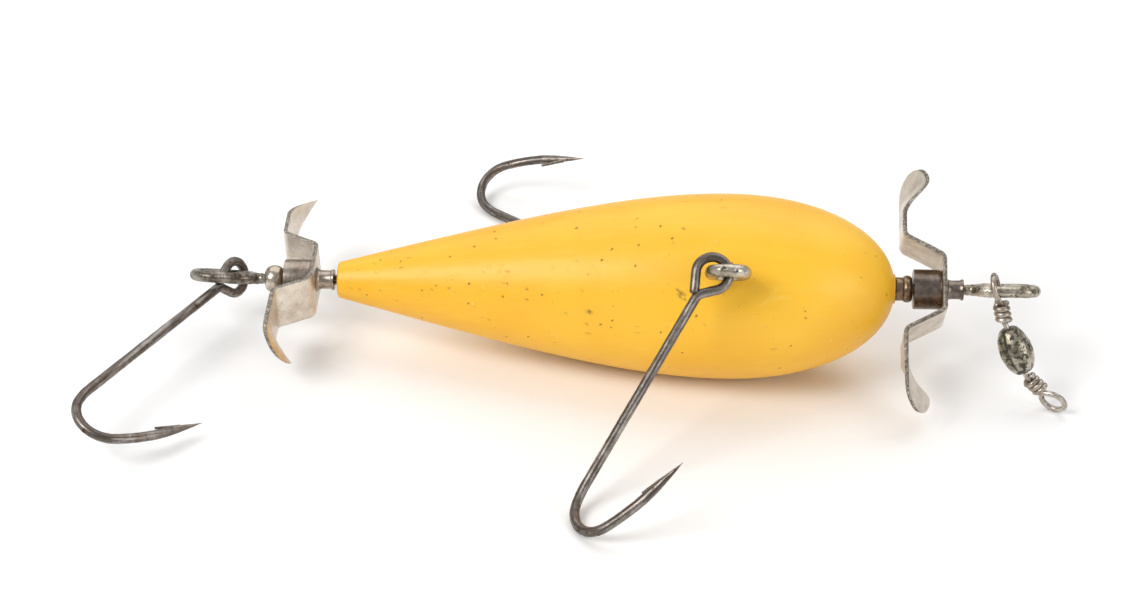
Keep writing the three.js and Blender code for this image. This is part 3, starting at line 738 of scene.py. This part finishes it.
turnedSizes = {
    "shaftHole": 0.78,
    "frontBead": {"start": 38.2, "length": 2.25, "radius": 1.85, "crown": 0.55,
                  "collar": 1.6, "collarLength": 0.85},
    "tailBead": {"start": -48.2, "length": 2.55, "radius": 1.9, "crown": 0.9,
                 "collar": 0, "collarLength": 0},
    "beadSteps": 72, "crownSteps": 20, "beadEdge": 0.05, "crownFoot": 0.04, "crownRise": 0.06,
    "beadDents": (0.03, 1.1),
    "hub": {"bushing": 2.72, "bushingLength": 3.8, "plateEnd": 4.4, "collar": 1.75, "tube": 1.28,
            "flare": 0.17, "length": 6.8, "corner": 0.06, "steps": 96, "dents": (0.02, 0.8),
            # how far back and how deep the worn edge is, and where collar and flare fade out
            "wornFrom": 0.25, "wornTo": 0.2, "wornDepth": 0.1, "faceDepth": 0.12,
            "collarFade": (0.3, 0.7), "flareRun": (0.55, 0.2)},
    "hubStarts": {"front": 40.6, "tail": -45.45},
}


def makeBead(name, size, metal, node, carrier):
    # a rounded ring, with a short collar on the side of the wood where there is one
    hole, edge = turnedSizes["shaftHole"], turnedSizes["beadEdge"]
    collar, steps = size["collar"], turnedSizes["crownSteps"]
    start, end = size["start"], size["start"] + size["length"]
    crownStart = start + size["collarLength"]
    middle, half = (crownStart + end) / 2, (end - crownStart) / 2
    outline = [(start + edge, hole), (start, hole + edge)]
    if collar:
        outline += [(start, collar - edge), (start + edge, collar),
                    (crownStart + turnedSizes["crownFoot"], collar)]
    for i in range(steps + 1):
        across = math.cos(math.pi * (1 - i / steps))
        rise = size["crown"] * math.sqrt(max(0, 1 - across * across))
        if across * half + middle > crownStart + turnedSizes["crownRise"] or not collar:
            outline.append((middle + half * across, size["radius"] - size["crown"] + rise))
    outline += [(end, hole + edge), (end - edge, hole)]
    mesh = newMesh()
    turnedPart(mesh, outline, turnedSizes["beadSteps"])
    roughen(mesh, *turnedSizes["beadDents"], len(name))
    makePiece(name, mesh, metals[metal], carrier, [node], lurePlace, 45)


def makeHub(name, start, metal, node, carrier):
    size, hole = turnedSizes["hub"], turnedSizes["shaftHole"]
    wide, shoulder, tube = size["bushing"], size["bushingLength"], size["tube"]
    plate, end, lip = size["plateEnd"], size["length"], size["tube"] + size["flare"]
    fadeFrom, fadeTo = size["collarFade"]
    flareFrom, flareTo = size["flareRun"]
    # the bushing, the plate's seat, a fading collar and the flared tube
    outline = [(0, hole), (0, wide), (shoulder - size["wornFrom"], wide),
               (shoulder - size["wornTo"], wide - size["wornDepth"]),
               (shoulder, wide - size["faceDepth"]), (shoulder, tube), (plate, tube),
               (plate, size["collar"]), (plate + fadeFrom, tube + size["faceDepth"]),
               (plate + fadeTo, tube), (end - flareFrom, tube), (end - flareTo, lip), (end, lip),
               (end, hole)]
    mesh = newMesh()
    turnedPart(mesh, roundedOutline(outline, size["corner"]), size["steps"])
    roughen(mesh, *size["dents"], len(name))
    place = lurePlace @ Matrix.Translation((start, 0, 0))
    makePiece(name, mesh, metals[metal], carrier, [node], place, 35)


makeBead("nose_bead", turnedSizes["frontBead"], "frontBead", "front_bead", "front_spacer")
makeBead("tail_end_bead", turnedSizes["tailBead"], "brightBead", "tail_bead", "tail_spacer")
makeHub("nose_hub", turnedSizes["hubStarts"]["front"], "hub", "front_hub", "front_rotor")
makeHub("tail_end_hub", turnedSizes["hubStarts"]["tail"], "tailHub", "tail_hub", "tail_rotor")


# propellers

strip = {
    "width": 6.6, "thickness": 0.6, "plate": 3.3, "armAngle": 62, "bendRadius": 1.0,
    "blade": 10.3, "twist": 31, "edge": 0.09, "tip": 0.12,
    "alongSteps": [0, 0.7, 1.4, 2.0, 2.65], "acrossSteps": [0, 0.7, 1.4, 2.0, 2.5, 2.95, 3.3],
    "bendSteps": 8, "bladeSteps": 20, "tipSteps": 14,
    # a square patch of the grid becomes the round hole, and the next points lean to a circle
    "hole": 1.34, "holePatch": 1.5, "circle": 2.2, "circlePatch": 2.1, "circleShare": 0.35,
    "nicks": (0.05, 1.1), "dents": (0.05, 0.28),
    "nose": {"arm": 4.8, "twistRun": (2.4, 8.2), "lean": 53, "station": 44.7, "seed": 1},
    "tail": {"arm": 4.1, "twistRun": (3.8, 9.2), "lean": 85, "station": -41.35, "seed": 2},
}


def stripStations(arm):
    corner = math.radians(strip["armAngle"]) * strip["bendRadius"]
    armStart = strip["plate"] + corner
    armEnd = armStart + arm
    bladeStart = armEnd + corner
    roundStart = bladeStart + strip["blade"] - strip["width"] / 2
    stations = list(strip["alongSteps"])
    bendSteps, tipSteps = strip["bendSteps"], strip["tipSteps"]
    for start, end, count in ((strip["plate"], armStart, bendSteps), (armStart, armEnd, bendSteps),
                              (armEnd, bladeStart, bendSteps),
                              (bladeStart, roundStart, strip["bladeSteps"])):
        stations += [start + (end - start) * i / count for i in range(count)]
    stations += [roundStart + strip["width"] / 2 * math.sin(i / tipSteps * math.pi / 2)
                 for i in range(tipSteps + 1)]
    return stations, roundStart


def smoothShare(value, low, high):
    share = min(1, max(0, (value - low) / (high - low)))
    return share * share * (3 - 2 * share)


def bentStrip(size, along, across, through):
    # where a point of the flat strip ends up: axial, sideways and radial
    side = math.copysign(1, along) if along else 1
    corner = math.radians(strip["armAngle"]) * strip["bendRadius"]
    left, heading, outward, back = abs(along), 0.0, 0.0, 0.0
    for length, turn in ((strip["plate"], 0), (corner, 1), (size["arm"], 0), (corner, -1),
                         (strip["blade"], 0)):
        taken = min(left, length)
        swing = turn * taken / strip["bendRadius"]
        outward += math.cos(heading + swing / 2) * taken
        back -= math.sin(heading + swing / 2) * taken
        heading += swing
        left -= taken
    onBlade = abs(along) - strip["plate"] - 2 * corner - size["arm"]
    twist = math.radians(strip["twist"]) * smoothShare(onBlade, *size["twistRun"])
    fromEdge = across * side + strip["width"] / 2
    width = side * (fromEdge * math.cos(twist) - strip["width"] / 2)
    lift = fromEdge * math.sin(twist)
    return Vector((back + lift + through * math.cos(heading) * math.cos(twist),
                   -width - side * through * math.sin(twist),
                   side * (outward + through * math.sin(heading))))


def makePropeller(name, size, node, carrier):
    stations, roundStart = stripStations(size["arm"])
    acrossSteps, half = strip["acrossSteps"], strip["width"] / 2
    long, wide = len(stations) - 1, len(acrossSteps) - 1
    mesh = newMesh("edge")
    edgeLayer = mesh.verts.layers.float["edge"]
    bmesh.ops.create_grid(mesh, x_segments=2 * long, y_segments=2 * wide, size=1)
    for point in mesh.verts:
        i, j = round(point.co.x * long), round(point.co.y * wide)
        along = math.copysign(stations[abs(i)], i)
        over = max(0, abs(along) - roundStart)
        narrowed = max(strip["tip"], math.sqrt(max(0, half * half - over * over))) / half
        point.co = Vector((along, math.copysign(acrossSteps[abs(j)], j) * narrowed, 0))
    middle = [face for face in mesh.faces
              if max(map(abs, face.calc_center_median())) < strip["holePatch"]]
    bmesh.ops.delete(mesh, geom=middle, context="FACES")
    for point in mesh.verts:
        reach = max(abs(point.co.x), abs(point.co.y))
        if reach < strip["holePatch"]:
            point.co = point.co.normalized() * strip["hole"]
        elif reach < strip["circlePatch"]:
            circle = point.co.normalized() * strip["circle"]
            point.co = point.co.lerp(circle, strip["circleShare"])
    bmesh.ops.solidify(mesh, geom=mesh.faces[:], thickness=strip["thickness"])
    heights = [point.co.z for point in mesh.verts]
    bmesh.ops.translate(mesh, verts=mesh.verts, vec=(0, 0, -(max(heights) + min(heights)) / 2))
    bmesh.ops.recalc_face_normals(mesh, faces=mesh.faces)
    rim = [edge for edge in mesh.edges
           if len(edge.link_faces) == 2 and edge.calc_face_angle() > 1.0]
    bmesh.ops.bevel(mesh, geom=rim, offset=strip["edge"], offset_type="OFFSET", affect="EDGES",
                    segments=2, profile=0.5, material=-1)
    mesh.normal_update()
    nickDepth, nickScale = strip["nicks"]
    for point in mesh.verts:
        point[edgeLayer] = max(1 - abs(face.normal.z) for face in point.link_faces)
        nicks = noise.noise(point.co * nickScale + Vector((size["seed"], 0, 0)))
        across = point.co.y + nickDepth * nicks * point[edgeLayer]
        point.co = bentStrip(size, point.co.x, across, point.co.z)
    bmesh.ops.recalc_face_normals(mesh, faces=mesh.faces)
    roughen(mesh, *strip["dents"], size["seed"])
    lean = Matrix.Rotation(-math.radians(size["lean"]), 4, "X")
    place = lurePlace @ Matrix.Translation((size["station"], 0, 0)) @ lean
    makePiece(name, mesh, metals["blade"], carrier, [node], place, 50)


makePropeller("nose_propeller", strip["nose"], "front_propeller", "front_rotor")
makePropeller("tail_end_propeller", strip["tail"], "tail_propeller", "tail_rotor")


# hooks

hook = {
    "wire": 1.3, "sides": 24, "eyeRadius": 2.2, "eyeOffset": 0.3, "jog": 45, "jogRadius": 1.6,
    "eyeTurn": 250, "eyeTail": 2.6, "shank": 32.3, "firstTurn": 17, "firstRadius": 9.0,
    "bend": 126, "bendRadius": 4.15, "throatTurn": 14, "throat": 6.0, "sideSet": 7,
    "spear": 6.6, "spearSet": 0.6, "spearTaper": 1.75, "spearTip": 0.06, "spearSteps": 20,
    "barbRoot": 0.1, "barbLength": 3.3, "barbStand": 1.2, "barbSink": 0.22, "barbWidth": 0.36,
    "barbTaper": 0.55, "barbSteps": 10, "dents": (0.028, 1.6), "fineDents": (0.012, 4.5),
}
hookLies = {
    "near_hook": {"origin": (12.242, -14.194, 23.46), "azimuth": -125.0, "slope": -39.042,
                  "roll": 29.0, "twist": -60, "extra": 0.0, "seed": 11},
    "far_hook": {"origin": (9.029, 14.158, 1.855), "azimuth": 143.0, "slope": -1.802,
                 "roll": 154.5, "twist": 0, "extra": 1.9, "seed": 12},
    "tail_hook": {"origin": (-52.847, 1.967, 7.759), "azimuth": -116.7, "slope": -1.012,
                  "roll": -12.5, "twist": -60, "extra": 0.0, "seed": 13},
}


def makeHook(name, node):
    lie = hookLies[node]
    mesh = newMesh("aroundX", "aroundY")
    radius, bendRadius, eyeRadius = hook["wire"] / 2, hook["bendRadius"], hook["eyeRadius"]
    jog, jogRadius = math.radians(hook["jog"]), hook["jogRadius"]
    loopX, loopY = math.cos(jog) * eyeRadius, math.sin(jog) * eyeRadius + hook["eyeOffset"]
    jogRun = (loopY - jogRadius * (1 - math.cos(jog))) / math.sin(jog)
    neckX = loopX + jogRadius * math.sin(jog) + jogRun * math.cos(jog)
    twist = math.radians(lie["twist"])
    twisted = Vector((0, -math.sin(twist), math.cos(twist)))
    eye = wire(mesh, radius, hook["sides"], (neckX, 0, 0), (-1, 0, 0), twisted)
    eye.turn(-hook["jog"], jogRadius).ahead(jogRun, 0.4).turn(hook["eyeTurn"], eyeRadius)
    eye.ahead(hook["eyeTail"], 0.4).roundEnd(0.5)
    shank = wire(mesh, radius, hook["sides"], (neckX, 0, 0), (1, 0, 0), twisted)
    shank.ahead(hook["shank"] + lie["extra"] - neckX, 0.4)
    shank.normal = Vector((0, 0, 1))
    drift = -math.tan(math.radians(hook["sideSet"]))
    # the shank's end swings in gently, and the wire leaves the shank's plane as it comes round
    firstRun = math.radians(hook["firstTurn"]) * hook["firstRadius"]
    level = math.degrees((bendRadius - firstRun) / bendRadius)
    rest = math.radians(hook["bend"] - level) * bendRadius
    shank.turn(hook["firstTurn"], hook["firstRadius"], 2.5).turn(level, bendRadius, 4)
    shank.turn(hook["bend"] - level, bendRadius, 4, drift * rest)
    throatRadius = hook["throat"] / math.radians(hook["throatTurn"])
    shank.turn(hook["throatTurn"], throatRadius, 1, drift * hook["throat"])
    inward = shank.normal.cross(shank.heading)
    along = shank.heading + shank.normal * drift * hook["spearSet"]
    foot = shank.place.copy()
    steps = hook["spearSteps"]
    shank.taper(along * hook["spear"], [max(hook["spearTip"], 1 - (i / steps) ** hook["spearTaper"])
                                        for i in range(1, steps + 1)])
    # the barb: a sliver cut from the inner side and lifted
    root = foot + along * (hook["barbRoot"] + hook["barbLength"]) + inward * hook["barbSink"]
    tip = foot + along * hook["barbRoot"] + inward * hook["barbStand"]
    sliver = wire(mesh, hook["barbWidth"], 14, root, tip - root, shank.normal).closeStart()
    steps = hook["barbSteps"]
    sliver.taper(tip - root, [1 - hook["barbTaper"] * (i / steps) for i in range(1, steps + 1)])
    closeUp(mesh)
    roughen(mesh, *hook["dents"], lie["seed"])
    roughen(mesh, *hook["fineDents"], lie["seed"] + 3)
    place = tablePlace @ Matrix.Translation(lie["origin"])
    for angle, axis in ((lie["azimuth"], "Z"), (-lie["slope"], "Y"), (lie["roll"], "X")):
        place = place @ Matrix.Rotation(math.radians(angle), 4, axis)
    makePiece(name, mesh, metals["hook"], "lure", [node], place, 60)


makeHook("near_single_hook", "near_hook")
makeHook("far_single_hook", "far_hook")
makeHook("tail_single_hook", "tail_hook")


# barrel swivel

swivel = {
    "wire": 0.78, "sides": 18, "loopLength": 5.0, "loopWidth": 4.2, "turns": 3, "pitch": 1.06,
    "turnRadius": 1.1, "turnInset": 0.32, "extraTurn": 60, "neck": 0.9, "wireDents": (0.02, 2.2),
    "pin": 1.2, "pinBack": 0.25, "pinBend": 0.6, "loopStart": 0.1, "loopBend": 1.0,
    "loopDrift": (0.3, 0.25), "turnStart": 0.15, "turnEnd": 0.05,
    "barrel": 6.5, "barrelRadius": 2.25, "barrelEnd": 1.15, "fullness": 0.8, "hole": 0.5,
    "mouthDepth": 0.5, "mouthEdge": 0.1, "mouthRim": 0.12, "faceInset": 0.2, "steps": 120,
    "seam": 138, "seamWidth": 0.34, "seamDepth": 0.16, "seamDark": 0.9, "mouthDark": 0.35,
    "dents": (0.06, 1.1), "fineDents": (0.03, 3.2),
    "top": (51.1, -1.25, 18.3), "upperRoll": 75, "lineEyeEnd": (62.1, -6.9, 1.36), "lineRoll": 60,
}


def swivelFrame():
    joint = joints["swivel_turn"]
    down = Vector(joint["axis"]).normalized()
    barrelTop = tablePlace.inverted() @ Vector(joint["pos_m"])
    return down, barrelTop, barrelTop + down * swivel["barrel"]


# a place at the barrel's end: X away from the barrel, and the wire leans from X towards Y
def leaningFrame(origin, away, target):
    toward = (Vector(target) - origin).normalized()
    hinge = away.cross(toward).normalized()
    place = Matrix.Translation(origin) @ turnTo(away, hinge.cross(away), hinge)
    return place, math.degrees(away.angle(toward))


def makeSwivelBarrel():
    down, barrelTop, foot = swivelFrame()
    lowerPlace, _ = leaningFrame(foot, down, swivel["lineEyeEnd"])
    place = tablePlace @ Matrix.Translation(barrelTop - foot) @ lowerPlace
    length, wide, end = swivel["barrel"], swivel["barrelRadius"], swivel["barrelEnd"]
    hole, edge, rim = swivel["hole"], swivel["mouthEdge"], swivel["mouthRim"]
    mouth = [(swivel["mouthDepth"], hole), (edge, hole), (0.0, hole + rim),
             (0.0, end - swivel["faceInset"])]
    outline = list(mouth)
    for i in range(33):
        across = i / 16 - 1
        bulge = end + (wide - end) * max(0.0, 1 - across * across) ** swivel["fullness"]
        outline.append((edge + i / 32 * (length - 2 * edge), bulge))
    outline += [(length - station, radius) for station, radius in reversed(mouth)]
    mesh = newMesh("dark")
    darkLayer = mesh.verts.layers.float["dark"]
    turnedPart(mesh, outline, swivel["steps"])
    seam = math.radians(swivel["seam"])
    for point in mesh.verts:
        turned = math.remainder(math.atan2(point.co.z, point.co.y) - seam, 2 * math.pi)
        deep = 1 - abs(turned) * wide / swivel["seamWidth"]
        if min(point.co.x, length - point.co.x) <= rim:
            point[darkLayer] = swivel["mouthDark"]
        elif deep > 0:
            point[darkLayer] = swivel["seamDark"] * deep
            point.co -= point.normal * swivel["seamDepth"] * deep
    roughen(mesh, *swivel["dents"], 5)
    roughen(mesh, *swivel["fineDents"], 6)
    makePiece("swivel_shell", mesh, metals["swivel"], "swivel_body",
              ["swivel_barrel"], place, 55)


def makeSwivelEye(name, node, carrier, away, origin, target, roll, seed):
    # a wire out of the barrel, a loop, and the wire's end wound back down round itself
    mesh = newMesh("aroundX", "aroundY")
    radius, sides, neck = swivel["wire"] / 2, swivel["sides"], swivel["neck"]
    begin, bendRadius = swivel["loopStart"], swivel["loopBend"]
    bowDrift, endDrift = swivel["loopDrift"]
    place, bend = leaningFrame(origin, away, target)
    wound = swivel["turns"] * swivel["wire"] * swivel["pitch"]
    wide = (swivel["loopWidth"] - swivel["wire"]) / 2
    centre = wound + swivel["loopLength"] - swivel["wire"] - wide
    crossing = wound + begin
    lean = math.asin(wide / (centre - crossing))
    side = math.sqrt((centre - crossing) ** 2 - wide ** 2)
    tangent = math.tan(lean / 2) * bendRadius
    loop = wire(mesh, radius, sides, (-begin, 0, 0), (1, 0, 0), (0, 0, 1)).closeStart()
    loop.ahead(crossing - tangent + begin, 0.3).turn(-math.degrees(lean), bendRadius, 7)
    loop.ahead(side - tangent, 0.35).turn(180 + 2 * math.degrees(lean), wide, 7, bowDrift)
    loop.ahead(side + begin, 0.35, endDrift).roundEnd(0.3)
    rolled = Matrix.Rotation(math.radians(roll), 3, "X")
    bmesh.ops.rotate(mesh, verts=mesh.verts, cent=(0, 0, 0), matrix=rolled)
    coilRadius = swivel["turnRadius"] - swivel["turnInset"]
    coilStart = (wound + swivel["turnStart"], coilRadius, 0)
    coil = wire(mesh, radius, sides, coilStart, (0, 0, 1), (1, 0, 0)).closeStart()
    coil.turn(360 * swivel["turns"] + swivel["extraTurn"], coilRadius, 12,
              swivel["turnEnd"] - wound).roundEnd(0.4)
    leaning = Matrix.Translation((neck, 0, 0)) @ Matrix.Rotation(math.radians(bend), 4, "Z")
    bmesh.ops.transform(mesh, verts=mesh.verts, matrix=leaning)
    pin = wire(mesh, radius, sides, (-swivel["pin"], 0, 0), (1, 0, 0), (0, 0, 1)).closeStart()
    pin.ahead(swivel["pin"] + neck - swivel["pinBack"], 0.3).turn(bend, swivel["pinBend"], 6)
    bmesh.ops.recalc_face_normals(mesh, faces=mesh.faces)
    roughen(mesh, *swivel["wireDents"], seed)
    makePiece(name, mesh, metals["swivelWire"], carrier, [node],
              tablePlace @ place, 60)


def makeSwivel():
    down, barrelTop, foot = swivelFrame()
    makeSwivelEye("swivel_nose_wire", "swivel_upper_eye", "lure", -down, barrelTop,
                  swivel["top"], swivel["upperRoll"], 8)
    makeSwivelEye("swivel_line_wire", "swivel_lower_eye", "line_eye", down, foot,
                  swivel["lineEyeEnd"], swivel["lineRoll"], 9)
    makeSwivelBarrel()


makeSwivel()
print("all pieces made")


# table, light and camera

studio = {
    "floor": (0.93, 0.925, 0.92), "floorShade": 0.995, "floorSize": 1.6, "sky": 0.42,
    "ceiling": {"place": (0.05, 0.42, 0.62), "size": (1.2, 0.8), "power": 3.6},
    "key": {"place": (-0.42, -0.34, 0.50), "size": (0.34, 0.34), "power": 3.2},
    "fill": {"place": (0.50, -0.30, 0.26), "size": (0.30, 0.30), "power": 0.9},
}
view = {
    "target": (-5.735, 0.0, 8.741), "distance": 370.825, "elevation": 32.765, "yaw": 0.912,
    "roll": -3.308, "focal": 2694.7, "imageWidth": 1145, "sensor": 36,
}


def makeTable():
    mesh = bmesh.new()
    bmesh.ops.create_grid(mesh, x_segments=2, y_segments=2, size=studio["floorSize"])
    shape = bpy.data.meshes.new("table")
    mesh.to_mesh(shape)
    mesh.free()
    made = finish("white table")
    shaded = [part * studio["floorShade"] for part in studio["floor"]]
    colour = made.tint(made.cloud(made.along(), 0.02, 2), studio["floor"], shaded)
    made.surface(Base_Color=colour, Roughness=0.8, Specular_IOR_Level=0.2)
    shape.materials.append(made.material)
    table = bpy.data.objects.new("table", shape)
    show(table)


def makeLight(name, place, size, power):
    light = bpy.data.lights.new(name, "AREA")
    light.shape = "RECTANGLE"
    light.size, light.size_y = size
    light.energy = power
    lamp = bpy.data.objects.new(name, light)
    lamp.location = place
    lamp.rotation_euler = (-Vector(place)).to_track_quat("-Z", "Y").to_euler()
    show(lamp)


def makeSky():
    world = bpy.data.worlds.new("studio")
    world.use_nodes = True
    background = world.node_tree.nodes["Background"]
    background.inputs["Color"].default_value = (1, 1, 1, 1)
    background.inputs["Strength"].default_value = studio["sky"]
    bpy.context.scene.world = world


def makeCamera():
    rise, yaw, roll = (math.radians(view[key]) for key in ("elevation", "yaw", "roll"))
    back = Vector((math.sin(yaw) * math.cos(rise), -math.cos(yaw) * math.cos(rise), math.sin(rise)))
    level = (-back).cross(Vector((0, 0, 1))).normalized()
    below = (-back).cross(level)
    right = level * math.cos(roll) + below * math.sin(roll)
    down = below * math.cos(roll) - level * math.sin(roll)
    lens = bpy.data.cameras.new("camera")
    lens.sensor_fit = "HORIZONTAL"
    lens.sensor_width = view["sensor"]
    lens.lens = view["sensor"] * view["focal"] / view["imageWidth"]
    lens.clip_start, lens.clip_end = 0.01, 10
    camera = bpy.data.objects.new("camera", lens)
    centre = tablePlace @ (Vector(view["target"]) + back * view["distance"])
    camera.matrix_world = Matrix.Translation(centre) @ turnTo(right, -down, back)
    show(camera)
    bpy.context.scene.camera = camera


makeTable()
for lamp in ("ceiling", "key", "fill"):
    makeLight(lamp, **studio[lamp])
makeSky()
makeCamera()
bpy.context.scene.view_settings.view_transform = "Standard"
print("scene ready")
